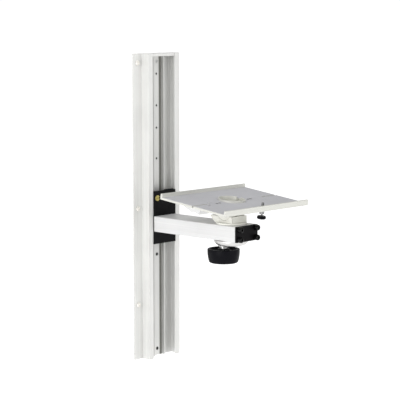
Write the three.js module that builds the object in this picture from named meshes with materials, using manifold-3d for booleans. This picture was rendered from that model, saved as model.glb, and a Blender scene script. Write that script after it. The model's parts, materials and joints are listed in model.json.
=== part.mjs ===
// Wall channel with a height-adjustable arm that carries a tilting, swivelling equipment platform.
// Millimetres. The origin lies on the wall plane (Y = 0), midway up the channel. +Z is up,
// -Y points away from the wall along the arm, and +X is to the right when facing the wall.
import * as THREE from 'three';
import { mergeVertices } from 'three/addons/utils/BufferGeometryUtils.js';
import Module from 'manifold-3d';

const wasm = await Module();
wasm.setup();

// ---------------------------------------------------------------- driving dimensions
const GAP = 0.3; // clearance between pieces that touch
const SEGMENTS = 32; // facets on the larger round pieces
const FINE = 16; // facets on screws and small bores

const RAIL_LENGTH = 635;
const RAIL_HALF = RAIL_LENGTH / 2;
const FLANGE_HALF = 67.5; // half the width over the wall flanges
const CHANNEL_HALF = 44; // half the width over the channel's side walls
const CHANNEL_DEPTH = 24;
const WALL = 3;
const WEB = 2.5;
const MOUTH_HALF = 32; // half the opening between the lips
const FIN_X = 14.8;
const FIN_FRONT = -9.5;
const STRIP_NEAR = 6.6; // groove for the dark strip beside each fin
const STRIP_FAR = 13.2;
const STRIP_DEPTH = 1.5;
const STOP_LOW = 311;
const FLANGE_SCREW_X = 55.5;
const FLANGE_SCREW_HEIGHTS = { upper: 298, middle: -1, lower: -202 };
const PLUG_RADIUS = 2.6;
const SMALL_PLUG_HEIGHTS = [274.6, 209.3, 163.2, 99.2];
const WEB_SCREW_HEIGHTS = { upper: 300, middle: -102.1, lower: -303.5 };

const BLOCK_HALF = 31.7;
const BLOCK_TOP = 34;
const SHELF_BACK = -18; // the block's face plate ends here above the shelf behind it
const SHELF_TOP = 30;
const BLOCK_BOTTOM = -75.5;
const BLOCK_FRONT = -26;
const BLOCK_BACK = -10.2;
const WING_HALF = 39.2;
const WING_FRONT = -20.7;
const KEY_LEFT = 3.6;
const KEY_RIGHT = 26;
const KEY_BACK = -20;
const KEY_TOP = 35.8;
const CLAMP_X = 21.5;
const CLAMP_Z = 20;
const ARM_BOLT_X = 16;

const ARM_WIDTH = 63.5;
const ARM_HEIGHT = 31.75;
const ARM_WALL = 3;
const ARM_Z = -33.1; // height of the arm's centre line
const ARM_START = BLOCK_FRONT - GAP;
const ARM_END = -250;
const ARM_TOP = ARM_Z + ARM_HEIGHT / 2;
const ARM_BOTTOM = ARM_Z - ARM_HEIGHT / 2;
const CAP_THICKNESS = 3.5;
const CAP_SCREW_X = 24.5;
const CAP_SCREW_Z = 9.9;
const CAP_HEAD_RADIUS = 5.8;
const CAP_HEAD_HEIGHT = 9.6;
const CAP_SOCKET_RADIUS = 2.7;
const CAP_SOCKET_DEPTH = 3.5;

const SWIVEL_Y = -211.5; // vertical axis the head turns on
const BOSS_RADIUS = 25.7; // head and dish bosses in the arm's walls
const HEAD_DISC_RADIUS = 31;
const HEAD_DISC_TOP = -13.5;
const SADDLE_HALF = 22.3;
const SADDLE_TOP = -1;
const SADDLE_FRONT = -232.8;
const DISH_RADIUS = 34;

const BOLT_Y = -191.2; // clamp bolt and knob, behind the swivel axis
const BOLT_RADIUS = 4;
const BOLT_SEAT = -10;
const PAD_BOTTOM = -62.5;
const KNOB_RADIUS = 32.6;
const KNOB_TOP = -69.6;
const KNOB_BOTTOM = -98;
const INSERT_RADIUS = 7;

const PIVOT_Y = -211.5; // horizontal axis the platform tilts on
const PIVOT_Z = 9;
const BARREL_RADIUS = 17.7;
const LUG_RADIUS = 8;
const LUG_HALF = 5.7;
const PLATE_X = 7.7; // platform's centre
const PLATE_Y = -214.7;
const PLATE_Z = 29.1;
const PLATE_TILT = THREE.MathUtils.degToRad(6.5);
const PLATE_WIDTH = 247;
const PLATE_DEPTH = 174;
const PLATE_THICKNESS = 4.2;
const LIP_HEIGHT = 7;
const LIP_THICKNESS = 4;
const HEAD_X = -PLATE_X; // head's centre in the platform's own frame
const WINDOW_Y = 2;
const WINDOW_RADIUS = 26;
const COLLAR_RADIUS = 28; // raised rim round the window
const COLLAR_HEIGHT = 3.5;
const EDGE_SLOT_LEFT = -82; // inner ends of the two slots that run in from the plate's ends
const EDGE_SLOT_RIGHT = 80;
const EDGE_SLOT_Y = [-2.8, 1.2];
const EDGE_SLOT_DEPTH = 3;
const BRACKET_FRONT = -15;
const BRACKET_REAR = 34;
const BRACKET_DROP = 10.8;
const LOCK_X = 10.5;
const LOCK_Y = -63.4;

// ---------------------------------------------------------------- colours
const FINISH = {
  anodised: { color: 0xd9dadc, roughness: 0.38, metalness: 0.9 },
  platform: { color: 0xb7b8be, roughness: 0.5, metalness: 0.6 },
  cast: { color: 0xdcdacb, roughness: 0.55, metalness: 0.1 },
  black: { color: 0x161718, roughness: 0.5, metalness: 0.05 },
  steel: { color: 0xb4b6b9, roughness: 0.3, metalness: 1.0 },
  brass: { color: 0xc9a54a, roughness: 0.3, metalness: 1.0 },
  nylon: { color: 0xe9e7df, roughness: 0.6, metalness: 0.0 },
  blackSteel: { color: 0x1c1c1e, roughness: 0.35, metalness: 0.8 },
};

// ---------------------------------------------------------------- solids
/** Turns a closed geometry into a manifold solid, keeping only its positions. */
function solid(geometry) {
  const bare = geometry.clone();
  bare.deleteAttribute('normal');
  bare.deleteAttribute('uv');
  const merged = mergeVertices(bare, 1e-4);
  const triVerts = new Uint32Array(merged.index.array);
  const vertProperties = new Float32Array(merged.attributes.position.array);
  return new wasm.Manifold(new wasm.Mesh({ numProp: 3, vertProperties, triVerts }));
}

/** Turns a manifold solid back into a geometry. */
function toGeometry(body) {
  const mesh = body.getMesh();
  const geometry = new THREE.BufferGeometry();
  geometry.setAttribute('position', new THREE.BufferAttribute(new Float32Array(mesh.vertProperties), 3));
  geometry.setIndex(new THREE.BufferAttribute(new Uint32Array(mesh.triVerts), 1));
  geometry.computeVertexNormals();
  return geometry;
}

/** Joins the first solid with others and cuts the cutters out of the result. */
function build(bodies, cutters = []) {
  let result = solid(bodies[0]);
  for (const body of bodies.slice(1)) {
    result = result.add(solid(body));
  }
  for (const cutter of cutters) {
    result = result.subtract(solid(cutter));
  }
  return toGeometry(result);
}

/** A box between two corners. */
function box(x0, x1, y0, y1, z0, z1) {
  const geometry = new THREE.BoxGeometry(x1 - x0, y1 - y0, z1 - z0);
  return geometry.translate((x0 + x1) / 2, (y0 + y1) / 2, (z0 + z1) / 2);
}

/** A cylinder or cone along Z from z0 (radius r0) to z1 (radius r1). */
function coneZ(x, y, z0, z1, r0, r1 = r0, facets = FINE) {
  const geometry = new THREE.CylinderGeometry(r1, r0, z1 - z0, facets);
  return geometry.rotateX(Math.PI / 2).translate(x, y, (z0 + z1) / 2);
}

/** A cylinder or cone along Y from y0 (radius r0) to y1 (radius r1). */
function coneY(x, z, y0, y1, r0, r1 = r0, facets = FINE) {
  const geometry = new THREE.CylinderGeometry(r1, r0, y1 - y0, facets);
  return geometry.translate(x, (y0 + y1) / 2, z);
}

/** A cylinder along X from x0 to x1. */
function rodX(y, z, x0, x1, radius, facets = FINE) {
  const geometry = new THREE.CylinderGeometry(radius, radius, x1 - x0, facets);
  return geometry.rotateZ(-Math.PI / 2).translate((x0 + x1) / 2, y, z);
}

/** A body turned about a vertical axis from [radius, height] points, listed upwards on the outside. */
function turned(points, x, y, facets = SEGMENTS) {
  const profile = points.map(([r, z]) => new THREE.Vector2(r, z));
  return new THREE.LatheGeometry(profile, facets).rotateX(Math.PI / 2).translate(x, y, 0);
}

/** A ring along Z. */
function ring(x, y, z0, z1, inner, outer, facets = SEGMENTS) {
  return turned([[inner, z0], [outer, z0], [outer, z1], [inner, z1], [inner, z0]], x, y, facets);
}

/** A flat outline in XY pushed up from z0 to z1. */
function slab(shape, z0, z1, curveSegments = 8) {
  const geometry = new THREE.ExtrudeGeometry(shape, { depth: z1 - z0, bevelEnabled: false, curveSegments });
  return geometry.translate(0, 0, z0);
}

/** A rectangle centred on (cx, cy) with rounded corners. */
function roundedRectangle(cx, cy, width, height, radius) {
  const w = width / 2;
  const h = height / 2;
  const shape = new THREE.Shape();
  shape.absarc(cx + w - radius, cy + h - radius, radius, 0, Math.PI / 2);
  shape.absarc(cx - w + radius, cy + h - radius, radius, Math.PI / 2, Math.PI);
  shape.absarc(cx - w + radius, cy - h + radius, radius, Math.PI, 1.5 * Math.PI);
  shape.absarc(cx + w - radius, cy - h + radius, radius, 1.5 * Math.PI, 2 * Math.PI);
  shape.closePath();
  return shape;
}

/** A flat outline in XZ pushed along Y from y0 down to y1 (y1 < y0). */
function slabY(shape, y0, y1, curveSegments = 4) {
  const geometry = new THREE.ExtrudeGeometry(shape, { depth: y0 - y1, bevelEnabled: false, curveSegments });
  return geometry.rotateX(Math.PI / 2).translate(0, y0, 0);
}

/** A flat outline drawn in YZ pushed along X from x0 to x1. */
function slabX(shape, x0, x1, curveSegments = 6) {
  const geometry = new THREE.ExtrudeGeometry(shape, { depth: x1 - x0, bevelEnabled: false, curveSegments });
  return geometry.rotateX(Math.PI / 2).rotateZ(Math.PI / 2).translate(x0, 0, 0);
}

/** A hexagonal socket cutter along Y, open towards -Y. */
function socketY(x, z, y0, y1, acrossFlats) {
  return coneY(x, z, y0, y1, acrossFlats / Math.sqrt(3), acrossFlats / Math.sqrt(3), 6);
}

// ---------------------------------------------------------------- scene graph helpers
const group = new THREE.Group();

/** Adds one named piece with its own material to a parent group. */
function addPiece(name, geometry, finish, parent = group) {
  const mesh = new THREE.Mesh(geometry, new THREE.MeshStandardMaterial({ ...FINISH[finish] }));
  mesh.name = name;
  parent.add(mesh);
}

// ---------------------------------------------------------------- wall channel
/** Half of the channel's section, from the wall flange round to the middle of the web. */
function channelHalfSection() {
  const lipBack = -CHANNEL_DEPTH + WALL;
  const inner = CHANNEL_HALF - WALL;
  const points = [[FLANGE_HALF, 0], [FLANGE_HALF, -WALL], [CHANNEL_HALF, -WALL]];
  points.push([CHANNEL_HALF, -CHANNEL_DEPTH], [MOUTH_HALF, -CHANNEL_DEPTH], [MOUTH_HALF, lipBack]);
  points.push([inner, lipBack]);
  for (const y of [-15.5, -8.5]) {
    points.push([inner, y - 0.5], [inner + 0.6, y - 0.5], [inner + 0.6, y + 0.5], [inner, y + 0.5]);
  }
  points.push([inner, -WEB]);
  points.push([32.6, -WEB], [32.6, -WEB + 0.7], [31.4, -WEB + 0.7], [31.4, -WEB]);
  points.push([FIN_X + 1, -WEB], [FIN_X + 1, FIN_FRONT], [FIN_X - 1, FIN_FRONT], [FIN_X - 1, -WEB]);
  points.push([STRIP_FAR, -WEB], [STRIP_FAR, -WEB + STRIP_DEPTH]);
  points.push([STRIP_NEAR, -WEB + STRIP_DEPTH], [STRIP_NEAR, -WEB]);
  return points;
}

function wallChannel() {
  const half = channelHalfSection();
  const mirrored = half.map(([x, y]) => [-x, y]).reverse();
  const outline = new THREE.Shape([...half, ...mirrored].map(([x, y]) => new THREE.Vector2(x, y)));
  const cutters = [];
  for (const z of Object.values(FLANGE_SCREW_HEIGHTS)) {
    for (const side of [-1, 1]) {
      cutters.push(coneY(side * FLANGE_SCREW_X, z, -WALL - 1, 1, 3.1));
    }
  }
  for (const z of SMALL_PLUG_HEIGHTS) {
    cutters.push(coneY(0, z, -WEB - 1, 1, PLUG_RADIUS, PLUG_RADIUS, 16));
  }
  for (const z of Object.values(WEB_SCREW_HEIGHTS)) {
    cutters.push(coneY(0, z, -WEB - 1, 1, 3.8));
  }
  return build([slab(outline, -RAIL_HALF, RAIL_HALF)], cutters);
}

/** Dark strip lying in the groove beside one fin. */
function webStrip(side) {
  const near = STRIP_NEAR + GAP;
  const far = STRIP_FAR - GAP;
  const x = side > 0 ? [near, far] : [-far, -near];
  return box(...x, -WEB + 0.2, -WEB + STRIP_DEPTH - GAP, -RAIL_HALF, RAIL_HALF);
}

/** Plate let into the top of the channel, notched over the two fins. */
function topStop() {
  const high = RAIL_HALF - GAP;
  const inner = CHANNEL_HALF - WALL - GAP;
  const lipBack = -CHANNEL_DEPTH + WALL + GAP;
  const webFace = -WEB - GAP;
  const finFace = FIN_FRONT - GAP;
  return build([
    box(-inner, inner, lipBack, finFace, STOP_LOW, high),
    box(-MOUTH_HALF + GAP, MOUTH_HALF - GAP, -CHANNEL_DEPTH + 1.2, lipBack + 1, STOP_LOW, high),
    box(-FIN_X + 1.3, FIN_X - 1.3, finFace - 1, webFace, STOP_LOW, high),
    box(FIN_X + 1.3, inner, finFace - 1, webFace, STOP_LOW, high),
    box(-inner, -FIN_X - 1.3, finFace - 1, webFace, STOP_LOW, high),
  ]);
}

/** Pan-head socket screw in a wall flange, its shank ending just off the wall plane. */
function flangeScrew(x, z) {
  const seat = -WALL - GAP;
  const rim = coneY(x, z, seat - 1.4, seat, 5.5, 5.5, 20);
  const crown = coneY(x, z, seat - 2.3, seat - 1.4, 4, 5.5, 20);
  const shank = coneY(x, z, seat - 0.1, -GAP, 2.8, 2.8, 16);
  return build([rim, crown, shank], [socketY(x, z, seat - 3, seat - 1, 3.6)]);
}

/** Set screw filling a web hole, slightly sunk, with a hexagonal socket. */
function webScrew(z, radius, facets) {
  const face = -WEB + 0.9;
  const body = coneY(0, z, face, -GAP, radius, radius, facets);
  return build([body], [socketY(0, z, face - 1, face + 0.8, radius)]);
}

/** Plain plug sunk in a small web hole. */
function webPlug(z) {
  return coneY(0, z, -WEB + 1.1, -GAP, PLUG_RADIUS - GAP, PLUG_RADIUS - GAP, 16);
}

// ---------------------------------------------------------------- carriage
function carriageBlock() {
  const front = box(-BLOCK_HALF, BLOCK_HALF, BLOCK_FRONT, SHELF_BACK, BLOCK_BOTTOM, BLOCK_TOP);
  const rear = box(-BLOCK_HALF, BLOCK_HALF, SHELF_BACK - 1, BLOCK_BACK, BLOCK_BOTTOM, SHELF_TOP);
  const wings = box(-WING_HALF, WING_HALF, WING_FRONT, BLOCK_BACK, BLOCK_BOTTOM, SHELF_TOP);
  const cutters = [];
  for (const side of [-1, 1]) {
    cutters.push(coneY(side * CLAMP_X, CLAMP_Z, BLOCK_FRONT - 1, BLOCK_BACK + 1, 4.3));
    cutters.push(coneY(side * CLAMP_X, CLAMP_Z, BLOCK_FRONT - 1, BLOCK_FRONT + 2.6, 6.6, 6.6, 32));
    cutters.push(coneY(side * ARM_BOLT_X, ARM_Z, BLOCK_FRONT - 1, BLOCK_BACK + 1, 4.4));
    cutters.push(coneY(side * ARM_BOLT_X, ARM_Z, -18, BLOCK_BACK + 1, 7));
  }
  return build([front, rear, wings], cutters);
}

/** Low stepped key that sits on the right half of the carriage block. */
function stepKey() {
  return box(KEY_LEFT, KEY_RIGHT, BLOCK_FRONT, KEY_BACK, BLOCK_TOP + GAP, KEY_TOP);
}

/** Low-friction strip between a wing and the channel's side wall. */
function glideStrip(side) {
  const near = WING_HALF + GAP;
  const far = CHANNEL_HALF - WALL - GAP;
  const x = side > 0 ? [near, far] : [-far, -near];
  return box(...x, WING_FRONT, BLOCK_BACK, BLOCK_BOTTOM + 2, SHELF_TOP - 2);
}

/** Brass clamp screw with a slotted head sunk in the block's face. */
function clampScrew(x) {
  const seat = BLOCK_FRONT + 2.6 - GAP;
  const head = coneY(x, CLAMP_Z, BLOCK_FRONT - 0.6, seat, 6, 6, 24);
  const shank = coneY(x, CLAMP_Z, seat - 0.1, -13.6, 4, 4, 20);
  const slot = box(x - 8, x + 8, BLOCK_FRONT - 2, BLOCK_FRONT + 1.3, CLAMP_Z - 1.1, CLAMP_Z + 1.1);
  return build([head, shank], [slot]);
}

/** Brass shoe that a clamp screw presses against the web. */
function clampShoe(x) {
  const body = box(x - 4.5, x + 4.5, BLOCK_BACK + GAP, -WEB - GAP, CLAMP_Z - 12, CLAMP_Z + 12);
  const spigot = coneY(x, CLAMP_Z, -13.3, BLOCK_BACK + 1, 3.6, 3.6, 16);
  return build([body, spigot]);
}

// ---------------------------------------------------------------- arm
function armTube() {
  const outline = roundedRectangle(0, ARM_Z, ARM_WIDTH, ARM_HEIGHT, 1.6);
  outline.holes.push(roundedRectangle(0, ARM_Z, ARM_WIDTH - 2 * ARM_WALL, ARM_HEIGHT - 2 * ARM_WALL, 1));
  const bore = BOSS_RADIUS + GAP;
  return build(
    [slabY(outline, ARM_START, ARM_END, 3)],
    [coneZ(0, SWIVEL_Y, ARM_BOTTOM - 1, ARM_TOP + 1, bore, bore, SEGMENTS)],
  );
}

/** Solid plug inside the tube's root, which the arm bolts pull against the carriage. */
function armRootPlug() {
  const w = ARM_WIDTH / 2 - ARM_WALL - GAP;
  const h = ARM_HEIGHT / 2 - ARM_WALL - GAP;
  const bores = [-1, 1].map((side) => coneY(side * ARM_BOLT_X, ARM_Z, -54, ARM_START + 1, 4.3));
  return build([box(-w, w, -62, ARM_START, ARM_Z - h, ARM_Z + h)], bores);
}

/** Cap screw from the back of the carriage into the root plug. */
function armBolt(x) {
  const head = coneY(x, ARM_Z, -17.7, BLOCK_BACK - 0.8, 6.5, 6.5, 24);
  const shank = coneY(x, ARM_Z, -53, -17, 4, 4, 20);
  const socket = coneY(x, ARM_Z, -14, BLOCK_BACK + 1, 3.5, 3.5, 6);
  return build([head, shank], [socket]);
}

const CAP_SCREWS = {
  cap_screw_upper_left: [-CAP_SCREW_X, ARM_Z + CAP_SCREW_Z],
  cap_screw_lower_left: [-CAP_SCREW_X, ARM_Z - CAP_SCREW_Z],
  cap_screw_upper_right: [CAP_SCREW_X, ARM_Z + CAP_SCREW_Z],
  cap_screw_lower_right: [CAP_SCREW_X, ARM_Z - CAP_SCREW_Z],
};

function endCap() {
  const seat = ARM_END - GAP;
  const face = slabY(roundedRectangle(0, ARM_Z, ARM_WIDTH, ARM_HEIGHT, 1.6), seat, seat - CAP_THICKNESS, 3);
  const w = ARM_WIDTH / 2 - ARM_WALL - GAP;
  const h = ARM_HEIGHT / 2 - ARM_WALL - GAP;
  const spigot = box(-w, w, seat - 1, ARM_END + 11, ARM_Z - h, ARM_Z + h);
  const bores = Object.values(CAP_SCREWS).map(([x, z]) => coneY(x, z, seat - 5, ARM_END + 10, 2.8, 2.8, 20));
  return build([face, spigot], bores);
}

/** Screw with a tall, softly domed head and a hexagonal socket. */
function capScrew([x, z]) {
  const seat = ARM_END - GAP - CAP_THICKNESS - GAP;
  const r = CAP_HEAD_RADIUS;
  const top = seat - CAP_HEAD_HEIGHT;
  const barrel = coneY(x, z, top + 2.4, seat, r, r, 24);
  const shoulder = coneY(x, z, top + 0.8, top + 2.4, r - 1, r, 24);
  const crown = coneY(x, z, top, top + 0.8, r - 2.8, r - 1, 24);
  const shank = coneY(x, z, seat - 0.1, ARM_END + 9, 2.5, 2.5, 16);
  const socket = coneY(x, z, top - 1, top + CAP_SOCKET_DEPTH, CAP_SOCKET_RADIUS, CAP_SOCKET_RADIUS, 6);
  return build([barrel, shoulder, crown, shank], [socket]);
}

// ---------------------------------------------------------------- swivelling head
/** Side outline of the saddle, in YZ: upright front, back flank leaning out at 45 degrees. */
function saddleOutline() {
  const shape = new THREE.Shape();
  shape.moveTo(SADDLE_FRONT, HEAD_DISC_TOP - 1);
  shape.lineTo(-191.8, HEAD_DISC_TOP - 1);
  shape.lineTo(-188, HEAD_DISC_TOP - 1);
  shape.lineTo(-174, SADDLE_TOP);
  shape.lineTo(SADDLE_FRONT, SADDLE_TOP);
  shape.closePath();
  return shape;
}

/** Cast head: boss in the arm, disc on the arm, saddle with a trough, and a central pivot lug. */
function swivelHead() {
  const disc = coneZ(0, SWIVEL_Y, ARM_TOP + GAP, HEAD_DISC_TOP, HEAD_DISC_RADIUS, HEAD_DISC_RADIUS, SEGMENTS);
  const boss = coneZ(0, SWIVEL_Y, -28, ARM_TOP + 1, BOSS_RADIUS, BOSS_RADIUS, SEGMENTS);
  const saddle = slabX(saddleOutline(), -SADDLE_HALF, SADDLE_HALF);
  const trough = rodX(PIVOT_Y, PIVOT_Z, -SADDLE_HALF - 1, SADDLE_HALF + 1, BARREL_RADIUS + 0.6, SEGMENTS);
  const cut = toGeometry(solid(disc).add(solid(boss)).add(solid(saddle)).subtract(solid(trough)));
  const column = box(-LUG_HALF, LUG_HALF, PIVOT_Y - LUG_RADIUS, PIVOT_Y + LUG_RADIUS, HEAD_DISC_TOP, PIVOT_Z);
  const lug = rodX(PIVOT_Y, PIVOT_Z, -LUG_HALF, LUG_HALF, LUG_RADIUS, 24);
  return build([cut, column, lug], [
    rodX(PIVOT_Y, PIVOT_Z, -LUG_HALF - 1, LUG_HALF + 1, 4.3),
    coneZ(0, BOLT_Y, -30, 0, BOLT_RADIUS + GAP),
    coneZ(0, BOLT_Y, BOLT_SEAT - GAP, 2, 6.8, 6.8, 32),
    coneZ(0, SWIVEL_Y - 6, -29, -18, 13, 13, 32),
  ]);
}

/** Silver dish under the arm, with a boss in the arm's lower wall and a pad for the bolt. */
function swivelDish() {
  const top = ARM_BOTTOM - GAP;
  const r = DISH_RADIUS;
  const profile = [[0, -60.6], [r - 13, -60.6], [r - 9.3, -60.2], [r - 6.3, -59.3], [r - 3.8, -57.8]];
  profile.push([r - 1.9, -55.8], [r - 0.6, -53.8], [r, -52], [r, top], [BOSS_RADIUS, top]);
  profile.push([BOSS_RADIUS, -40], [0, -40]);
  const pad = coneZ(0, BOLT_Y, PAD_BOTTOM, -52, 8.8, 8.8, 24);
  return build([turned(profile, 0, SWIVEL_Y), pad], [
    coneZ(0, BOLT_Y, -70, -30, BOLT_RADIUS + GAP),
    coneZ(0, SWIVEL_Y - 7, -55, -39, 14, 14, 32),
  ]);
}

/** Cap screw with its head sunk in the saddle and its shank running down to the knob. */
function clampBolt() {
  const head = coneZ(0, BOLT_Y, BOLT_SEAT, -3, 6.5, 6.5, 20);
  const shank = coneZ(0, BOLT_Y, -83.8, BOLT_SEAT + 0.5, BOLT_RADIUS, BOLT_RADIUS);
  return build([head, shank], [coneZ(0, BOLT_Y, -6.5, 0, 3.4, 3.4, 6)]);
}

/** Flat washer under the dish's pad. */
function thrustWasher() {
  return ring(0, BOLT_Y, -64.8, PAD_BOTTOM - GAP, BOLT_RADIUS + GAP, 11, 24);
}

/** Conical spring washer between the flat washer and the knob's insert. */
function springWasher() {
  const bore = BOLT_RADIUS + GAP;
  return turned([[bore, -66.4], [9, -67], [9, -65.7], [bore, -65.1], [bore, -66.4]], 0, BOLT_Y, 24);
}

/** Threaded insert moulded into the knob. */
function knobInsert() {
  return ring(0, BOLT_Y, -84, -67.4, BOLT_RADIUS + GAP, INSERT_RADIUS, 20);
}

/** Smooth moulded knob: upright rim, tapered to a rounded foot, recessed top. */
function clampKnob() {
  const bore = INSERT_RADIUS + GAP;
  const r = KNOB_RADIUS;
  const profile = [[0, KNOB_BOTTOM], [r - 6.2, KNOB_BOTTOM], [r - 4.2, KNOB_BOTTOM + 1], [r - 3.1, -95]];
  profile.push([r - 2.3, -93], [r - 1.4, -89], [r - 0.8, -85], [r, -79], [r, KNOB_TOP - 1.4]);
  profile.push([r - 1.2, KNOB_TOP], [27.4, KNOB_TOP], [26, KNOB_TOP - 4.5]);
  profile.push([12.5, KNOB_TOP - 4.5], [11.5, KNOB_TOP], [bore, KNOB_TOP], [bore, -84.3], [0, -84.3]);
  return turned(profile, 0, BOLT_Y, 40);
}

// ---------------------------------------------------------------- tilting platform (own frame)
// The platform's frame has its origin on the top face's centre, with +Z along the face's normal.
const platform = new THREE.Group();
platform.position.set(PLATE_X, PLATE_Y, PLATE_Z);
platform.rotation.x = PLATE_TILT;
group.add(platform);

const PIVOT_DY = PIVOT_Y - PLATE_Y;
const PIVOT_DZ = PIVOT_Z - PLATE_Z;
const PIVOT_V = PIVOT_DY * Math.cos(PLATE_TILT) + PIVOT_DZ * Math.sin(PLATE_TILT);
const PIVOT_W = -PIVOT_DY * Math.sin(PLATE_TILT) + PIVOT_DZ * Math.cos(PLATE_TILT);
const FLANGE_TOP = -PLATE_THICKNESS - GAP;
const FLANGE_BOTTOM = FLANGE_TOP - 4;

const PLATE_SCREWS = {
  plate_screw_left_outer: HEAD_X - 49.8,
  plate_screw_left_inner: HEAD_X - 42,
  plate_screw_right_inner: HEAD_X + 42,
  plate_screw_right_outer: HEAD_X + 49.8,
};
const PLATE_SCREW_Y = -4;

/** Section of the platform in YZ: a flat plate with an upright lip along each long edge. */
function plateSection() {
  const d = PLATE_DEPTH / 2;
  const shape = new THREE.Shape();
  shape.moveTo(-d, -PLATE_THICKNESS);
  shape.lineTo(d, -PLATE_THICKNESS);
  shape.lineTo(d, LIP_HEIGHT);
  shape.lineTo(d - LIP_THICKNESS, LIP_HEIGHT);
  shape.lineTo(d - LIP_THICKNESS, 0);
  shape.lineTo(-d + LIP_THICKNESS, 0);
  shape.lineTo(-d + LIP_THICKNESS, LIP_HEIGHT);
  shape.lineTo(-d, LIP_HEIGHT);
  shape.closePath();
  return shape;
}

function platformPlate() {
  const w = PLATE_WIDTH / 2;
  const cutters = [
    coneZ(HEAD_X, WINDOW_Y, -PLATE_THICKNESS - 1, COLLAR_HEIGHT + 1, WINDOW_RADIUS, WINDOW_RADIUS, SEGMENTS),
    coneZ(LOCK_X, LOCK_Y, -PLATE_THICKNESS - 1, 1, 3),
    coneZ(-88, -11, -PLATE_THICKNESS - 1, 1, 1.8, 1.8, 16),
    box(HEAD_X + 18, HEAD_X + 31, WINDOW_Y, WINDOW_Y + 9, -PLATE_THICKNESS - 1, COLLAR_HEIGHT + 1),
    box(-w - 1, EDGE_SLOT_LEFT, ...EDGE_SLOT_Y, -EDGE_SLOT_DEPTH, 1),
    box(EDGE_SLOT_RIGHT, w + 1, ...EDGE_SLOT_Y, -EDGE_SLOT_DEPTH, 1),
  ];
  for (const x of Object.values(PLATE_SCREWS)) {
    cutters.push(coneZ(x, PLATE_SCREW_Y, -PLATE_THICKNESS - 1, 1, 1.9, 1.9, 16));
    cutters.push(coneZ(x, PLATE_SCREW_Y, -1.9, 1, 3.3, 3.3, 20));
  }
  const collar = coneZ(HEAD_X, WINDOW_Y, -1, COLLAR_HEIGHT, COLLAR_RADIUS, COLLAR_RADIUS, SEGMENTS);
  return build([slabX(plateSection(), -w, w), collar], cutters);
}

/** Countersunk-style screw from the platform into the casting below it. */
function plateScrew(x) {
  const head = coneZ(x, PLATE_SCREW_Y, -1.6, -0.2, 3, 3, 20);
  const shank = coneZ(x, PLATE_SCREW_Y, FLANGE_BOTTOM + 0.5, -1.5, 1.5, 1.5, 12);
  return build([head, shank], [coneZ(x, PLATE_SCREW_Y, -1, 1, 1.3, 1.3, 6)]);
}

/** Casting screwed under the platform: flange recessed below the window, and a split barrel on the pivot. */
function tiltCasting() {
  const flange = slab(roundedRectangle(HEAD_X, 0, 116, 64, 14), FLANGE_BOTTOM, FLANGE_TOP);
  const left = HEAD_X - SADDLE_HALF;
  const right = HEAD_X + SADDLE_HALF;
  const barrel = rodX(PIVOT_V, PIVOT_W, left, right, BARREL_RADIUS, SEGMENTS);
  const neck = box(left, right, PIVOT_V - BARREL_RADIUS, PIVOT_V + BARREL_RADIUS, PIVOT_W, FLANGE_TOP - 1);
  const slotHalf = LUG_HALF + 0.3;
  const slot0 = HEAD_X - slotHalf;
  const slot1 = HEAD_X + slotHalf;
  const cutters = [
    rodX(PIVOT_V, PIVOT_W, slot0, slot1, LUG_RADIUS + 0.6, 32),
    box(slot0, slot1, PIVOT_V - 20, PIVOT_V + 20, PIVOT_W - 20, PIVOT_W),
    rodX(PIVOT_V, PIVOT_W, left - 1, right + 1, 4.3),
    coneZ(HEAD_X, WINDOW_Y, FLANGE_TOP - 1.6, 0, WINDOW_RADIUS - 1, WINDOW_RADIUS - 1, SEGMENTS),
  ];
  for (const x of Object.values(PLATE_SCREWS)) {
    cutters.push(coneZ(x, PLATE_SCREW_Y, FLANGE_BOTTOM - 1, FLANGE_TOP + 1, 1.8, 1.8, 16));
  }
  return build([flange, barrel, neck], cutters);
}

/** Tilt pivot along X: socket head on the left, shank through barrel and lug. */
function pivotBolt() {
  const head = rodX(PIVOT_Y, PIVOT_Z, -SADDLE_HALF - 5.3, -SADDLE_HALF - GAP, 6.5, 20);
  const shank = rodX(PIVOT_Y, PIVOT_Z, -SADDLE_HALF - 1, SADDLE_HALF + 8, 4, 20);
  return build([head, shank], [rodX(PIVOT_Y, PIVOT_Z, -SADDLE_HALF - 7, -SADDLE_HALF - 2.8, 3.4, 6)]);
}

function pivotNut() {
  const body = rodX(PIVOT_Y, PIVOT_Z, SADDLE_HALF + GAP, SADDLE_HALF + 6.8, 7.2, 6);
  return build([body], [rodX(PIVOT_Y, PIVOT_Z, SADDLE_HALF - 1, SADDLE_HALF + 9, 4.3, 20)]);
}

/** Small upright pin near the left edge of the platform. */
function stopPin() {
  const profile = [[0, -PLATE_THICKNESS], [1.5, -PLATE_THICKNESS], [1.5, 6], [0.9, 6.8], [0, 7]];
  const post = turned(profile, -88, -11, 16);
  return build([post]);
}

/** Outline of an edge bracket in YZ: blunt at the front, slightly arched below, slanting up at the back. */
function bracketOutline() {
  const top = -PLATE_THICKNESS - GAP;
  const foot = top - BRACKET_DROP;
  const shape = new THREE.Shape();
  shape.moveTo(BRACKET_REAR, top);
  shape.lineTo(BRACKET_FRONT, top);
  shape.lineTo(BRACKET_FRONT, foot);
  shape.lineTo(BRACKET_FRONT + 4, foot + 0.6);
  shape.quadraticCurveTo(-2.7, foot + 3.8, 5.5, foot + 0.6);
  shape.closePath();
  return shape;
}

/** Bracket hanging under one end of the platform. */
function edgeBracket(side) {
  const x0 = side < 0 ? -118 : 90;
  return slabX(bracketOutline(), x0, x0 + 28);
}

// ---------------------------------------------------------------- lock pin near the front lip
const LOCK_BODY_TOP = -PLATE_THICKNESS - GAP;
const LOCK_BODY_BOTTOM = -15.5;
const LOCK_KNOB_TOP = -19.6;
const LOCK_KNOB_BOTTOM = -25.8;

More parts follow.
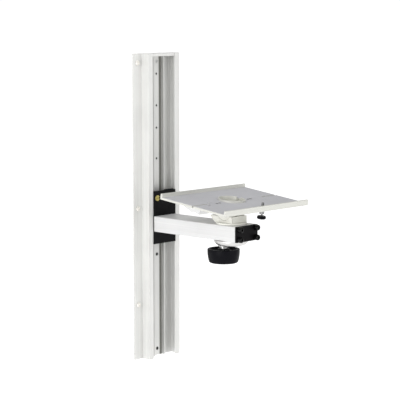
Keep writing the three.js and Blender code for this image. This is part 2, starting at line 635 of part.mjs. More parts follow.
function lockPinBody() {
  const hexagon = coneZ(LOCK_X, LOCK_Y, LOCK_BODY_TOP - 4, LOCK_BODY_TOP, 7.5, 7.5, 6);
  const barrel = coneZ(LOCK_X, LOCK_Y, LOCK_BODY_BOTTOM, LOCK_BODY_TOP - 3, 5, 5, 20);
  return build([hexagon, barrel], [
    coneZ(LOCK_X, LOCK_Y, LOCK_BODY_BOTTOM - 1, 0, 2.1, 2.1, 20),
    coneZ(LOCK_X, LOCK_Y, LOCK_BODY_BOTTOM + 1.5, 0, 3.9, 3.9, 24),
  ]);
}

/** Pin with a rounded nose above the platform, a shoulder and a thin stem. */
function lockPin() {
  const knobSeat = LOCK_KNOB_BOTTOM + 2.2;
  const shoulder = -PLATE_THICKNESS - GAP;
  const profile = [[0, knobSeat], [1.7, knobSeat], [1.7, -7.5], [3.5, -7.5], [3.5, shoulder]];
  profile.push([2.6, shoulder], [2.6, 6.2], [1.6, 7.6], [0, 8]);
  return turned(profile, LOCK_X, LOCK_Y, 20);
}

/** Return spring inside the pin's body. */
function lockPinSpring() {
  const turns = 2;
  const low = LOCK_BODY_BOTTOM + 2.3;
  const high = -8.4;
  const steps = Math.round(turns * 8);
  const points = [];
  for (let i = 0; i <= steps; i += 1) {
    const angle = (i / 8) * 2 * Math.PI;
    const z = low + ((high - low) * i) / steps;
    points.push(new THREE.Vector3(LOCK_X + 2.75 * Math.cos(angle), LOCK_Y + 2.75 * Math.sin(angle), z));
  }
  const section = new THREE.Shape();
  section.absarc(0, 0, 0.4, 0, 2 * Math.PI);
  const extrudePath = new THREE.CatmullRomCurve3(points);
  return new THREE.ExtrudeGeometry(section, { steps, extrudePath, curveSegments: 3 });
}

function lockPinKnob() {
  const bore = 1.7 + GAP;
  const low = LOCK_KNOB_BOTTOM;
  const profile = [[0, low], [7.6, low], [8.9, low + 1.1], [9, LOCK_KNOB_TOP - 1.4], [8, LOCK_KNOB_TOP]];
  profile.push([bore, LOCK_KNOB_TOP], [bore, low + 1.9], [0, low + 1.9]);
  return turned(profile, LOCK_X, LOCK_Y, 36);
}

// ---------------------------------------------------------------- assembly
addPiece('wall_channel', wallChannel(), 'anodised');
addPiece('channel_top_stop', topStop(), 'anodised');
addPiece('web_strip_left', webStrip(-1), 'blackSteel');
addPiece('web_strip_right', webStrip(1), 'blackSteel');
for (const [level, z] of Object.entries(FLANGE_SCREW_HEIGHTS)) {
  addPiece(`flange_screw_left_${level}`, flangeScrew(-FLANGE_SCREW_X, z), 'steel');
  addPiece(`flange_screw_right_${level}`, flangeScrew(FLANGE_SCREW_X, z), 'steel');
}
for (const [level, z] of Object.entries(WEB_SCREW_HEIGHTS)) {
  addPiece(`web_screw_${level}`, webScrew(z, 3.8 - GAP, FINE), 'blackSteel');
}
SMALL_PLUG_HEIGHTS.forEach((z, i) => addPiece(`web_plug_${i + 1}`, webPlug(z), 'blackSteel'));

addPiece('carriage_block', carriageBlock(), 'black');
addPiece('step_key', stepKey(), 'black');
for (const [label, side] of [['left', -1], ['right', 1]]) {
  addPiece(`glide_strip_${label}`, glideStrip(side), 'nylon');
  addPiece(`clamp_screw_${label}`, clampScrew(side * CLAMP_X), 'brass');
  addPiece(`clamp_shoe_${label}`, clampShoe(side * CLAMP_X), 'brass');
  addPiece(`arm_bolt_${label}`, armBolt(side * ARM_BOLT_X), 'blackSteel');
}

addPiece('arm_tube', armTube(), 'anodised');
addPiece('arm_root_plug', armRootPlug(), 'anodised');
addPiece('end_cap', endCap(), 'black');
for (const [name, place] of Object.entries(CAP_SCREWS)) {
  addPiece(name, capScrew(place), 'blackSteel');
}

addPiece('swivel_head', swivelHead(), 'cast');
addPiece('swivel_dish', swivelDish(), 'steel');
addPiece('clamp_bolt', clampBolt(), 'steel');
addPiece('thrust_washer', thrustWasher(), 'steel');
addPiece('spring_washer', springWasher(), 'steel');
addPiece('knob_insert', knobInsert(), 'steel');
addPiece('clamp_knob', clampKnob(), 'black');

addPiece('pivot_bolt', pivotBolt(), 'blackSteel');
addPiece('pivot_nut', pivotNut(), 'steel');
addPiece('platform_plate', platformPlate(), 'platform', platform);
addPiece('tilt_casting', tiltCasting(), 'cast', platform);
for (const [name, x] of Object.entries(PLATE_SCREWS)) {
  addPiece(name, plateScrew(x), 'blackSteel', platform);
}
addPiece('stop_pin', stopPin(), 'steel', platform);
addPiece('edge_bracket_left', edgeBracket(-1), 'anodised', platform);
addPiece('edge_bracket_right', edgeBracket(1), 'anodised', platform);
addPiece('lock_pin_body', lockPinBody(), 'steel', platform);
addPiece('lock_pin', lockPin(), 'steel', platform);
addPiece('lock_pin_spring', lockPinSpring(), 'steel', platform);
addPiece('lock_pin_knob', lockPinKnob(), 'black', platform);

export default group;
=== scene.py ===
"""Looks of a wall-mounted equipment arm: channel, sliding carriage, arm, swivelling head and platform."""

import json
import logging
import math
from dataclasses import dataclass, field
from enum import Enum

import bmesh
import bpy
import numpy as np
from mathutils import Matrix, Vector

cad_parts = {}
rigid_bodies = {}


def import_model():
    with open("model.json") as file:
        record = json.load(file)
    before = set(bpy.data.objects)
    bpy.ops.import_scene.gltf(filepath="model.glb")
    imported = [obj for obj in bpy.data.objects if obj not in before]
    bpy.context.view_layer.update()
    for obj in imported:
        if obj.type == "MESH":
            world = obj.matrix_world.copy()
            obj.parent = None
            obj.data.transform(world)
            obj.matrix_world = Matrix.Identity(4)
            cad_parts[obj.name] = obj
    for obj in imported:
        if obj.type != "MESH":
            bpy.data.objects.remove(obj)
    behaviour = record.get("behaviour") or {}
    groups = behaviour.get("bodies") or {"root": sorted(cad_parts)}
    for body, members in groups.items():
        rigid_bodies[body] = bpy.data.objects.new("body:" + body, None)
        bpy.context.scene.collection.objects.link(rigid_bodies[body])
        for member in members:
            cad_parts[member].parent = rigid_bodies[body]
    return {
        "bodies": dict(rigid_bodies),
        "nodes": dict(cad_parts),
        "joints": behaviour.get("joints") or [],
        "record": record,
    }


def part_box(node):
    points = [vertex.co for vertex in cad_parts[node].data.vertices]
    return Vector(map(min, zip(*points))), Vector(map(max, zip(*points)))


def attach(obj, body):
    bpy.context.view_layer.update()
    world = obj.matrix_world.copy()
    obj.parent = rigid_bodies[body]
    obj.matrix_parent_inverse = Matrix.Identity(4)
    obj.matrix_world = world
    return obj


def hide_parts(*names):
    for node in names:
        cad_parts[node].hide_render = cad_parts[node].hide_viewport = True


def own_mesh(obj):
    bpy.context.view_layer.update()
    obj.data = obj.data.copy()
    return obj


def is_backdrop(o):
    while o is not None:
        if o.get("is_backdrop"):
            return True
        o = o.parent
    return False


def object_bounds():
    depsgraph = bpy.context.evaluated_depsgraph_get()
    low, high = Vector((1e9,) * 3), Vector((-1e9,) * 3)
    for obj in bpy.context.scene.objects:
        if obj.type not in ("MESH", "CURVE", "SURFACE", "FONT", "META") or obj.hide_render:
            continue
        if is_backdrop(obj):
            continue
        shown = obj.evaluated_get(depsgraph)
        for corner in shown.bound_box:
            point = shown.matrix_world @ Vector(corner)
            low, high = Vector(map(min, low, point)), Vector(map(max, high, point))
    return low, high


LOG = logging.getLogger("equipment_arm")
TAU = 2.0 * math.pi
MM = 0.001
SMOOTH_ANGLE = math.radians(35)
FLAT_ANGLE = math.radians(0.5)
WELD = 1e-7
CAD_WELD = 2e-6
TONE_SCALE = 14.0
PIT_SCALE = 1600.0
BUMP_DISTANCE = 0.0002


class Pattern(Enum):
    """Which way the fine lines of a finish run."""

    ALONG_X = (4.0, 900.0, 900.0)
    ALONG_Y = (900.0, 4.0, 900.0)
    ALONG_Z = (900.0, 900.0, 4.0)
    TURNED = (2.0, 90.0, 1.0)
    EVEN = (420.0, 420.0, 420.0)


# ---------------------------------------------------------------- shader groups
def surface_group() -> bpy.types.NodeTree:
    """Builds the shared group for fine lines, patchy tone and small pits.

    Returns:
        A node group with Vector, Lines, Tone and Pits inputs, and Shade, Gloss and Height outputs.
    """
    tree = bpy.data.node_groups.new("worked_surface", "ShaderNodeTree")
    face = tree.interface
    face.new_socket("Vector", in_out="INPUT", socket_type="NodeSocketVector")
    face.new_socket("Place", in_out="INPUT", socket_type="NodeSocketVector")
    for name, value in (("Lines", 0.5), ("Tone", 0.3), ("Pits", 0.3)):
        face.new_socket(name, in_out="INPUT", socket_type="NodeSocketFloat").default_value = value
    for name in ("Shade", "Gloss", "Height"):
        face.new_socket(name, in_out="OUTPUT", socket_type="NodeSocketFloat")
    nodes, link = tree.nodes, tree.links.new
    start, end = nodes.new("NodeGroupInput"), nodes.new("NodeGroupOutput")

    def noise(source: str, scale: float, detail: float) -> bpy.types.NodeSocket:
        """Adds centred noise: N(source * scale) - 0.5."""
        texture = nodes.new("ShaderNodeTexNoise")
        texture.inputs["Scale"].default_value = scale
        texture.inputs["Detail"].default_value = detail
        link(start.outputs[source], texture.inputs["Vector"])
        return math_node("SUBTRACT", texture.outputs["Fac"], 0.5)

    def math_node(kind: str, a: object, b: object) -> bpy.types.NodeSocket:
        """Adds one maths node on two sockets or numbers."""
        node = nodes.new("ShaderNodeMath")
        node.operation = kind
        for socket, value in zip(node.inputs, (a, b)):
            if isinstance(value, float):
                socket.default_value = value
            else:
                link(value, socket)
        return node.outputs[0]

    lines = math_node("MULTIPLY", noise("Vector", 1.0, 3.0), start.outputs["Lines"])
    tone = math_node("MULTIPLY", noise("Place", TONE_SCALE, 2.0), start.outputs["Tone"])
    pits = math_node("MULTIPLY", noise("Place", PIT_SCALE, 2.0), start.outputs["Pits"])
    both = math_node("ADD", lines, tone)
    shade = math_node("ADD", both, pits)
    link(math_node("ADD", shade, 0.5), end.inputs["Shade"])
    link(math_node("ADD", both, 0.5), end.inputs["Gloss"])
    link(math_node("ADD", lines, pits), end.inputs["Height"])
    return tree


@dataclass(frozen=True)
class Finish:
    """One finish: colours of its dark and light patches, gloss, and how its surface is worked."""

    name: str
    slot: str
    dark: tuple[float, float, float]
    light: tuple[float, float, float]
    rough: tuple[float, float]
    metallic: float = 0.0
    specular: float = 0.5
    pattern: Pattern = Pattern.EVEN
    lines: float = 0.4
    tone: float = 0.4
    pits: float = 0.3
    bump: float = 0.15

    def material(self, group: bpy.types.NodeTree) -> bpy.types.Material:
        """Builds the finish as a material.

        Args:
            group: the shared surface group.

        Returns:
            The material, reading Object coordinates or the piece's own UV map.
        """
        made = bpy.data.materials.new(self.name)
        made.use_nodes = True
        nodes, link = made.node_tree.nodes, made.node_tree.links.new
        shader = nodes["Principled BSDF"]
        shader.inputs["Metallic"].default_value = self.metallic
        shader.inputs["Specular IOR Level"].default_value = self.specular
        place = nodes.new("ShaderNodeTexCoord")
        stretch = nodes.new("ShaderNodeMapping")
        stretch.inputs["Scale"].default_value = self.pattern.value
        worked = nodes.new("ShaderNodeGroup")
        worked.node_tree = group
        for name in ("lines", "tone", "pits"):
            worked.inputs[name.capitalize()].default_value = getattr(self, name)
        source = "UV" if self.pattern is Pattern.TURNED else "Object"
        link(place.outputs[source], stretch.inputs["Vector"])
        link(stretch.outputs["Vector"], worked.inputs["Vector"])
        link(place.outputs["Object"], worked.inputs["Place"])
        colour = nodes.new("ShaderNodeMix")
        colour.data_type = "RGBA"
        colour.inputs[6].default_value = (*self.dark, 1.0)
        colour.inputs[7].default_value = (*self.light, 1.0)
        link(worked.outputs["Shade"], colour.inputs[0])
        link(colour.outputs[2], shader.inputs["Base Color"])
        gloss = nodes.new("ShaderNodeMapRange")
        gloss.inputs["To Min"].default_value = self.rough[0]
        gloss.inputs["To Max"].default_value = self.rough[1]
        link(worked.outputs["Gloss"], gloss.inputs["Value"])
        link(gloss.outputs["Result"], shader.inputs["Roughness"])
        bump = nodes.new("ShaderNodeBump")
        bump.inputs["Strength"].default_value = self.bump
        bump.inputs["Distance"].default_value = BUMP_DISTANCE
        link(worked.outputs["Height"], bump.inputs["Height"])
        link(bump.outputs["Normal"], shader.inputs["Normal"])
        return made


FINISHES = (
    Finish("channel_extrusion", "anodised", (0.47, 0.47, 0.46), (0.76, 0.76, 0.74), (0.36, 0.52), 0.3,
           pattern=Pattern.ALONG_Z, lines=0.8),
    Finish("arm_extrusion", "arm_anodised", (0.48, 0.48, 0.48), (0.67, 0.67, 0.67), (0.36, 0.5), 0.2,
           pattern=Pattern.ALONG_Y, lines=0.7),
    Finish("platform_edges", "platform", (0.45, 0.45, 0.42), (0.66, 0.66, 0.615), (0.38, 0.55), 0.25,
           pattern=Pattern.ALONG_X, lines=0.6),
    Finish("head_casting", "cast", (0.50, 0.495, 0.455), (0.72, 0.715, 0.665), (0.42, 0.6),
           lines=0.2, tone=0.6, pits=0.6, bump=0.3),
    Finish("block_black", "black_block", (0.002, 0.002, 0.002), (0.010, 0.010, 0.011), (0.4, 0.6),
           specular=0.05, pits=0.6, bump=0.25),
    Finish("cap_black", "black_plastic", (0.002, 0.002, 0.002), (0.008, 0.007, 0.008), (0.35, 0.5),
           specular=0.05),
    Finish("knob_black", "knob_plastic", (0.001, 0.001, 0.002), (0.006, 0.006, 0.008), (0.3, 0.42),
           specular=0.05, pattern=Pattern.TURNED, lines=0.3, bump=0.1),
    Finish("cap_screw_black", "cap_screw", (0.001, 0.001, 0.001), (0.005, 0.005, 0.005), (0.16, 0.28),
           specular=0.12, pattern=Pattern.TURNED),
    Finish("dark_oxide", "dark_screw", (0.012, 0.012, 0.012), (0.05, 0.05, 0.05), (0.3, 0.5), 0.3,
           specular=0.3, pattern=Pattern.TURNED),
    Finish("bright_plate", "bright_screw", (0.62, 0.60, 0.56), (0.92, 0.9, 0.86), (0.2, 0.36), 0.85,
           pattern=Pattern.TURNED),
    Finish("dish_silver", "dish_metal", (0.40, 0.395, 0.39), (0.68, 0.675, 0.665), (0.24, 0.4), 0.85,
           pattern=Pattern.TURNED, lines=0.8),
    Finish("turned_steel", "plain_steel", (0.42, 0.42, 0.42), (0.72, 0.72, 0.71), (0.22, 0.4), 0.9,
           pattern=Pattern.TURNED, lines=0.7),
    Finish("pin_steel", "pin_steel", (0.10, 0.10, 0.10), (0.30, 0.30, 0.30), (0.22, 0.36), 0.9,
           pattern=Pattern.TURNED, lines=0.7),
    Finish("clamp_brass", "brass", (0.24, 0.20, 0.05), (0.56, 0.48, 0.18), (0.26, 0.42), 0.85,
           tone=0.7),
    # Painted shadow: a dark strip on the channel's web beside the fin stands in for the shade at the fin's
    # base.
    Finish("painted_fin_shadow", "strip", (0.10, 0.10, 0.09), (0.20, 0.20, 0.18), (0.6, 0.8), specular=0.2,
           pattern=Pattern.ALONG_Z),
    Finish("glide_nylon", "glide", (0.56, 0.55, 0.50), (0.72, 0.71, 0.67), (0.5, 0.65)),
)
TRAY_FINISH = Finish("platform_tray", "platform", (0.36, 0.36, 0.378), (0.54, 0.54, 0.562), (0.6, 0.75),
                     specular=0.15, pattern=Pattern.ALONG_X, lines=0.5, pits=0.5, bump=0.2)


class Workshop:
    """Holds the materials by slot and finishes pieces."""

    def __init__(self, frame: dict) -> None:
        """Builds every material once.
        """
        group = surface_group()
        self.frame = frame
        self.materials = {finish.slot: finish.material(group) for finish in FINISHES}
        self.tray = TRAY_FINISH.material(group)
        self.slots = {row["node"]: row["material_slot"] for row in frame["record"]["subparts"]}
        bodies = frame["record"]["behaviour"]["bodies"]
        self.bodies = {node: body for body, nodes in bodies.items() for node in nodes}

    def dress(self, piece: bpy.types.Object, slot: str) -> None:
        """Gives a piece the finish of a slot."""
        piece.data.materials.clear()
        piece.data.materials.append(self.materials[slot])

    def stand_in(self, piece: bpy.types.Object, node: str) -> None:
        """Makes a finished piece stand for a CAD node.

        Args:
            piece: the new piece, in place.
            node: the CAD node that it replaces.
        """
        slot = self.slots[node]
        self.dress(piece, slot)
        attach(piece, self.bodies[node])
        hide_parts(node)
        LOG.info("%s stands for %s, %d faces", piece.name, node, len(piece.data.polygons))

    def dress_rest(self) -> None:
        """Gives every CAD node that still shows its finish."""
        for node, piece in self.frame["nodes"].items():
            if not piece.hide_render:
                self.dress(piece, self.slots[node])
                LOG.info("%s keeps its CAD shape", node)


# ---------------------------------------------------------------- surfaces
def rounded(profile: np.ndarray, radius: float, steps: int, closed: bool) -> np.ndarray:
    """Rounds the corners of a profile.

    Each corner B becomes the curve (1-s)^2 A + 2s(1-s) B + s^2 C for s from 0 to 1, where A and C lie on
    its two sides at min(radius, 0.45 side) from B.

    Args:
        profile: n by 2 points.
        radius: reach of each rounding.
        steps: points along each rounding.
        closed: whether the last point joins the first.

    Returns:
        The rounded profile, m by 2.
    """
    before, after = np.roll(profile, 1, axis=0), np.roll(profile, -1, axis=0)
    back, ahead = before - profile, after - profile
    back_length = np.linalg.norm(back, axis=1, keepdims=True)
    ahead_length = np.linalg.norm(ahead, axis=1, keepdims=True)
    a = profile + back / back_length * np.minimum(radius, 0.45 * back_length)
    c = profile + ahead / ahead_length * np.minimum(radius, 0.45 * ahead_length)
    s = np.linspace(0.0, 1.0, steps)[None, :, None]
    curve = (1 - s) ** 2 * a[:, None] + 2 * s * (1 - s) * profile[:, None] + s**2 * c[:, None]
    if closed:
        return curve.reshape(-1, 2)
    return np.vstack([profile[:1], curve[1:-1].reshape(-1, 2), profile[-1:]])


def closed_mesh(name: str, points: np.ndarray, faces: list, uv: np.ndarray) -> bpy.types.Object:
    """Makes a mesh object whose faces point outwards.

    Args:
        name: name of the object.
        points: n by 3 positions in metres.
        faces: arrays of corner numbers, one array for each face size.
        uv: n by 2 texture positions, one for each point.

    Returns:
        The object, linked to the scene and smooth shaded below 35 degrees.
    """
    rows = [row for block in faces for row in block.tolist()]
    mesh = bpy.data.meshes.new(name)
    mesh.from_pydata(points.tolist(), [], rows)
    corner = np.empty(len(mesh.loops), dtype=np.int32)
    mesh.loops.foreach_get("vertex_index", corner)
    layer = mesh.uv_layers.new(name="turned")
    layer.data.foreach_set("uv", uv[corner].astype(np.float32).ravel())
    work = bmesh.new()
    work.from_mesh(mesh)
    bmesh.ops.remove_doubles(work, verts=work.verts, dist=WELD)
    bmesh.ops.recalc_face_normals(work, faces=work.faces)
    work.to_mesh(mesh)
    work.free()
    mesh.shade_smooth()
    mesh.set_sharp_from_angle(angle=SMOOTH_ANGLE)
    piece = bpy.data.objects.new(name, mesh)
    bpy.context.scene.collection.objects.link(piece)
    return piece


@dataclass
class Turned:
    """A piece turned about an axis from a profile of (radius, height) in millimetres."""

    name: str
    profile: list
    centre: Vector
    axis: Vector
    fillet: float = 0.5
    sides: int = 64
    ring: bool = False
    steps: int = 5

    def make(self) -> bpy.types.Object:
        """Builds the surface P(t, k) = centre + h_k axis + r_k (cos t e1 + sin t e2).

        Returns:
            The finished piece.
        """
        line = rounded(np.array(self.profile, float), self.fillet, self.steps, self.ring) * MM
        axis = np.array(self.axis.normalized())
        first = np.array(self.axis.orthogonal().normalized())
        second = np.cross(axis, first)
        angle = np.linspace(0.0, TAU, self.sides, endpoint=False)
        spread = np.cos(angle)[:, None] * first + np.sin(angle)[:, None] * second
        grid = line[:, None, :1] * spread[None] + line[:, None, 1:] * axis + np.array(self.centre)
        rows = len(line)
        index = np.arange(rows * self.sides).reshape(rows, self.sides)
        if self.ring:
            index = np.vstack([index, index[:1]])
        near, far = index[:-1], index[1:]
        quads = np.stack(
            [near, far, np.roll(far, -1, axis=1), np.roll(near, -1, axis=1)], axis=-1
        ).reshape(-1, 4)
        length = np.concatenate([[0.0], np.cumsum(np.linalg.norm(np.diff(line, axis=0), axis=1))])
        uv = np.stack(np.broadcast_arrays((angle / TAU)[None, :], length[:, None] * 10.0), axis=-1)
        return closed_mesh(self.name, grid.reshape(-1, 3), [quads], uv.reshape(-1, 2))


@dataclass
class Softened:
    """A copy of a CAD node with its edges eased, as machined or cast metal has."""

    node: str
    width: float = 0.5
    segments: int = 2
    smooth: float = 30.0

    def make(self, frame: dict) -> bpy.types.Object:
        """Merges the copy's loose triangles, clears flat edges and adds a bevel.


        Returns:
            The finished piece.
        """
        mesh = frame["nodes"][self.node].data.copy()
        mesh.name = f"{self.node}_finished"
        work = bmesh.new()
        work.from_mesh(mesh)
        bmesh.ops.remove_doubles(work, verts=work.verts, dist=CAD_WELD)
        bmesh.ops.dissolve_limit(work, angle_limit=FLAT_ANGLE, verts=work.verts, edges=work.edges)
        work.to_mesh(mesh)
        work.free()
        piece = bpy.data.objects.new(f"{self.node}_finished", mesh)
        bpy.context.scene.collection.objects.link(piece)
        bevel = piece.modifiers.new("eased_edges", "BEVEL")
        bevel.width = self.width * MM
        bevel.segments = self.segments
        bevel.limit_method = "ANGLE"
        bevel.angle_limit = math.radians(self.smooth)
        bevel.harden_normals = True
        mesh.shade_smooth()
        mesh.set_sharp_from_angle(angle=math.radians(self.smooth))
        return piece


# ---------------------------------------------------------------- sub-assemblies
@dataclass
class Rail:
    """The wall channel, its top stop and its screws."""

    shop: Workshop
    edge: float = 0.5
    head_radius: float = 5.5

    def build(self) -> None:
        """Builds and dresses the rail."""
        for node in ("wall_channel", "channel_top_stop"):
            self.shop.stand_in(Softened(node, self.edge).make(self.shop.frame), node)
        for node in sorted(self.shop.frame["nodes"]):
            if node.startswith("flange_screw"):
                self.shop.stand_in(self.flange_screw(node), node)

    def flange_screw(self, node: str) -> bpy.types.Object:
        """Pan head with a round socket and a short shank.

        Args:
            node: the CAD screw that gives the place.

        Returns:
            The finished screw.
        """
        low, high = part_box(node)
        centre = Vector(((low.x + high.x) / 2, high.y, (low.z + high.z) / 2))
        depth = (high.y - low.y) / MM
        seat = depth - 2.3
        profile = [(0, 0), (2.8, 0), (2.8, seat), (self.head_radius, seat), (self.head_radius, seat + 1.1),
                   (4.3, depth), (2.1, depth), (2.0, depth - 1.3), (0, depth - 1.3)]
        return Turned(f"{node}_finished", profile, centre, Vector((0, -1, 0)), 0.35, sides=48).make()


@dataclass
class Carriage:
    """The black block, its brass clamp screws, the arm and the arm's end cap."""

    shop: Workshop
    cap_radius: float = 5.8
    cap_height: float = 9.6
    socket_radius: float = 2.5
    socket_depth: float = 3.4
    shank: float = 2.4

    def build(self) -> None:
        """Builds and dresses the carriage."""
        for node, width in (("carriage_block", 0.6), ("step_key", 0.4), ("arm_tube", 0.8), ("end_cap", 0.7),
                            ("clamp_screw_left", 0.35), ("clamp_screw_right", 0.35)):
            self.shop.stand_in(Softened(node, width).make(self.shop.frame), node)
        for node in sorted(self.shop.frame["nodes"]):
            if node.startswith("cap_screw"):
                self.shop.stand_in(self.cap_screw(node), node)

    def cap_screw(self, node: str) -> bpy.types.Object:
        """Tall domed head with a round socket, on a shank.

        Args:
            node: the CAD screw that gives the place.

        Returns:
            The finished screw.
        """
        low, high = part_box(node)
        centre = Vector(((low.x + high.x) / 2, high.y, (low.z + high.z) / 2))
        depth = (high.y - low.y) / MM
        r, tall, bore = self.cap_radius, self.cap_height, self.socket_radius
        floor = depth - self.socket_depth
        profile = [(0, 0), (self.shank, 0), (self.shank, depth - tall), (r, depth - tall), (r, depth - 2.1),
                   (r - 0.9, depth - 0.7), (r - 2.6, depth), (bore, depth), (bore, floor), (0, floor)]
        return Turned(f"{node}_finished", profile, centre, Vector((0, -1, 0)), 0.4, sides=56).make()


@dataclass
class Head:
    """The swivelling casting, the silver dish, the bolt stack and the clamp knob."""

    shop: Workshop
    knob_radius: float = 32.6
    up: Vector = field(default_factory=lambda: Vector((0, 0, 1)))

    def build(self) -> None:
        """Builds and dresses the head."""
        self.shop.stand_in(Softened("swivel_head", 0.8, 3).make(self.shop.frame), "swivel_head")
        self.shop.stand_in(Softened("swivel_dish", 0.5).make(self.shop.frame), "swivel_dish")
        self.shop.stand_in(self.knob(), "clamp_knob")
        self.shop.stand_in(self.washer(), "thrust_washer")

    def knob(self) -> bpy.types.Object:
        """Smooth moulded knob with an upright rim, a tapered foot and a recessed top.

        Returns:
            The finished knob.
        """
        low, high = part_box("clamp_knob")
        centre = Vector(((low.x + high.x) / 2, (low.y + high.y) / 2, low.z))
        tall = (high.z - low.z) / MM
        r = self.knob_radius
        profile = [(0, 0), (r - 6.2, 0), (r - 3.6, 1.3), (r - 2.3, 5), (r - 1.4, 9), (r - 0.8, 13),
                   (r, 19), (r, tall - 0.6), (r - 1.6, tall), (27.4, tall), (26, tall - 4.5),
                   (12.5, tall - 4.5), (11.5, tall), (7.3, tall), (7.3, tall - 14.7), (0, tall - 14.7)]
        return Turned("clamp_knob_finished", profile, centre, self.up, 1.2, sides=128).make()

    def washer(self) -> bpy.types.Object:
        """Flat round washer with eased edges.

        Returns:
            The finished washer.
        """
        low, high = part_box("thrust_washer")
        centre = Vector(((low.x + high.x) / 2, (low.y + high.y) / 2, low.z))
        tall = (high.z - low.z) / MM
        profile = [(4.3, 0), (11, 0), (11, tall), (4.3, tall)]
        return Turned("thrust_washer_finished", profile, centre, self.up, 0.3, ring=True).make()


@dataclass
class Platform:
    """The lipped platform, the casting under it, its stop pin and its lock pin."""

    shop: Workshop
    tilt: float = 6.5
    tray_band: float = 5.0
    spring_solid: float = 2.4
    upward: float = 0.99
    pin_half: float = 15.8

    def normal(self) -> Vector:
        """Direction of the platform's upward normal."""
        turn = math.radians(self.tilt)
        return Vector((0, -math.sin(turn), math.cos(turn)))

    def middle(self, node: str) -> Vector:
        """Middle of a CAD node's box."""
        low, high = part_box(node)
        return (low + high) / 2

    def build(self) -> None:
        """Builds and dresses the platform and its lock pin."""
        eased = (("platform_plate", 0.6), ("tilt_casting", 0.8), ("edge_bracket_left", 0.8),
                 ("edge_bracket_right", 0.8), ("lock_pin_body", 0.3))
        for node, width in eased:
            self.shop.stand_in(Softened(node, width).make(self.shop.frame), node)
        self.coat_tray(bpy.data.objects["platform_plate_finished"])
        self.shop.stand_in(self.pin_knob(), "lock_pin_knob")
        self.shop.stand_in(self.pin(), "lock_pin")
        self.fit_spring()

    def coat_tray(self, piece: bpy.types.Object) -> None:
        """Gives the faces that look up, below the lips, the grey tray finish.

        A face is coated where n . up > upward and its height along the normal is within tray_band of
        the lowest such face.

        Args:
            piece: the finished plate, already in its first finish.
        """
        up = np.array(self.normal())
        count = len(piece.data.polygons)
        facing, middle = np.empty(count * 3, np.float32), np.empty(count * 3, np.float32)
        piece.data.polygons.foreach_get("normal", facing)
        piece.data.polygons.foreach_get("center", middle)
        flat = facing.reshape(-1, 3) @ up > self.upward
        height = middle.reshape(-1, 3) @ up
        coated = flat & (height < height[flat].min() + self.tray_band * MM)
        piece.data.materials.append(self.shop.tray)
        piece.data.polygons.foreach_set("material_index", coated.astype(np.int32))
        piece.data.update()

    def fit_spring(self) -> None:
        """Finishes the pin's spring and gives it its own mesh; the spring does not shorten as the pin is
        pulled down.

        Height along the normal is n . p; the lowest point is found and an anchor is put there.
        """
        piece = Softened("lock_pin_spring", 0.05, 1).make(self.shop.frame)
        self.shop.stand_in(piece, "lock_pin_spring")
        up = np.array(self.normal())
        points = np.empty(len(piece.data.vertices) * 3, np.float32)
        piece.data.vertices.foreach_get("co", points)
        height = points.reshape(-1, 3) @ up
        anchor = self.middle("lock_pin_spring")
        anchor = anchor + self.normal() * (float(height.min()) - anchor.dot(self.normal()))
        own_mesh(piece)

    def pin_knob(self) -> bpy.types.Object:
        """Small round knob with soft rims, bored for the pin.

        Returns:
            The finished knob.
        """
        centre = self.middle("lock_pin_knob")
        profile = [(0, -3.1), (7.6, -3.1), (9, -1.9), (9, 1.8), (7.8, 3.1), (2, 3.1), (2, -1.2), (0, -1.2)]
        return Turned("lock_pin_knob_finished", profile, centre, self.normal(), 0.8, sides=72).make()

    def pin(self) -> bpy.types.Object:
        """Stepped pin with a rounded nose.

        Returns:
            The finished pin.
        """
        half = self.pin_half
        centre = self.middle("lock_pin")
        profile = [(0, -half), (1.7, -half), (1.7, half - 15.5), (3.5, half - 15.5), (3.5, half - 12.5),
                   (2.6, half - 12.5), (2.6, half - 2), (1.6, half - 0.4), (0, half)]
        return Turned("lock_pin_finished", profile, centre, self.normal(), 0.3, sides=40).make()


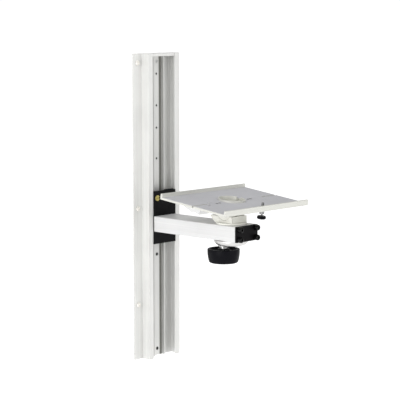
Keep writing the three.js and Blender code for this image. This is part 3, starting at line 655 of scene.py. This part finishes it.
@dataclass
class Studio:
    """Camera, lights, floor and world."""

    camera_place: tuple = (-2.1741, -2.1729, 0.3988)
    view: tuple = (0.7224, 0.6801, -0.1250)
    lens: float = 133.59
    sensor: float = 36.0
    floor_height: float = -0.46
    floor_reach: float = 30.0
    floor_tone: float = 0.92
    floor_glow: float = 0.6
    aim: tuple = (0.0, -0.1, 0.0)
    world_light: float = 0.6
    backdrop: float = 1.05

    def camera(self) -> None:
        """Places the camera and makes it the scene's."""
        data = bpy.data.cameras.new("camera")
        data.lens = self.lens
        data.sensor_width = self.sensor
        data.clip_end = 50.0
        eye = bpy.data.objects.new("camera", data)
        eye.location = self.camera_place
        eye.rotation_euler = Vector(self.view).to_track_quat("-Z", "Y").to_euler()
        bpy.context.scene.collection.objects.link(eye)
        bpy.context.scene.camera = eye

    def lamp(self, name: str, place: tuple, size: float, power: float) -> None:
        """Adds a soft square lamp aimed at the arm.

        Args:
            name: the lamp's name.
            place: where it stands.
            size: side of the square, in metres.
            power: its power in watts.
        """
        data = bpy.data.lights.new(name, "AREA")
        data.size = size
        data.energy = power
        lamp = bpy.data.objects.new(name, data)
        lamp.location = place
        toward = Vector(self.aim) - Vector(place)
        lamp.rotation_euler = toward.to_track_quat("-Z", "Y").to_euler()
        bpy.context.scene.collection.objects.link(lamp)

    def floor(self) -> None:
        """Lays a wide pale floor well below the channel."""
        corners = self.floor_reach * np.array([[-1, -1, 0], [1, -1, 0], [1, 1, 0], [-1, 1, 0]], float)
        corners[:, 2] = self.floor_height
        mesh = bpy.data.meshes.new("floor")
        mesh.from_pydata(corners.tolist(), [], [(0, 1, 2, 3)])
        floor = bpy.data.objects.new("floor", mesh)
        paint = bpy.data.materials.new("pale_floor")
        paint.use_nodes = True
        shader = paint.node_tree.nodes["Principled BSDF"]
        shader.inputs["Base Color"].default_value = (self.floor_tone, self.floor_tone, self.floor_tone, 1)
        shader.inputs["Roughness"].default_value = 0.9
        shader.inputs["Emission Color"].default_value = (1, 1, 1, 1)
        shader.inputs["Emission Strength"].default_value = self.floor_glow
        mesh.materials.append(paint)
        bpy.context.scene.collection.objects.link(floor)
        floor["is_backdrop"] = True

    def build(self) -> None:
        """Sets up the whole studio."""
        self.camera()
        self.lamp("left_lamp", (-4.4, -0.9, 0.6), 2.4, 124)
        self.lamp("front_lamp", (0.8, -4.2, 0.8), 2.2, 38)
        self.lamp("top_lamp", (-0.4, -0.8, 2.4), 1.6, 18)
        self.floor()
        world = bpy.data.worlds.new("studio")
        world.use_nodes = True
        nodes, link = world.node_tree.nodes, world.node_tree.links.new
        back = nodes["Background"]
        back.inputs["Color"].default_value = (1, 1, 1, 1)
        path, level = nodes.new("ShaderNodeLightPath"), nodes.new("ShaderNodeMapRange")
        level.inputs["To Min"].default_value = self.world_light
        level.inputs["To Max"].default_value = self.backdrop
        link(path.outputs["Is Camera Ray"], level.inputs["Value"])
        link(level.outputs["Result"], back.inputs["Strength"])
        bpy.context.scene.world = world
        bpy.context.scene.view_settings.view_transform = "Standard"


def plain_box(bounds: tuple) -> list:
    """A box as two plain lists of numbers."""
    return [[float(value) for value in corner] for corner in bounds]


def main(frame: dict, cad_box: list) -> None:
    """Builds every sub-assembly in order.

    Args:
        cad_box: the CAD model's box; not used.
    """
    Studio().build()
    shop = Workshop(frame)
    for assembly in (Rail(shop), Carriage(shop), Head(shop), Platform(shop)):
        LOG.info("building %s", type(assembly).__name__)
        assembly.build()
    shop.dress_rest()


if __name__ == "__main__":
    logging.basicConfig(level=logging.INFO, format="%(name)s: %(message)s")
    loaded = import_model()
    main(loaded, plain_box(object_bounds()))
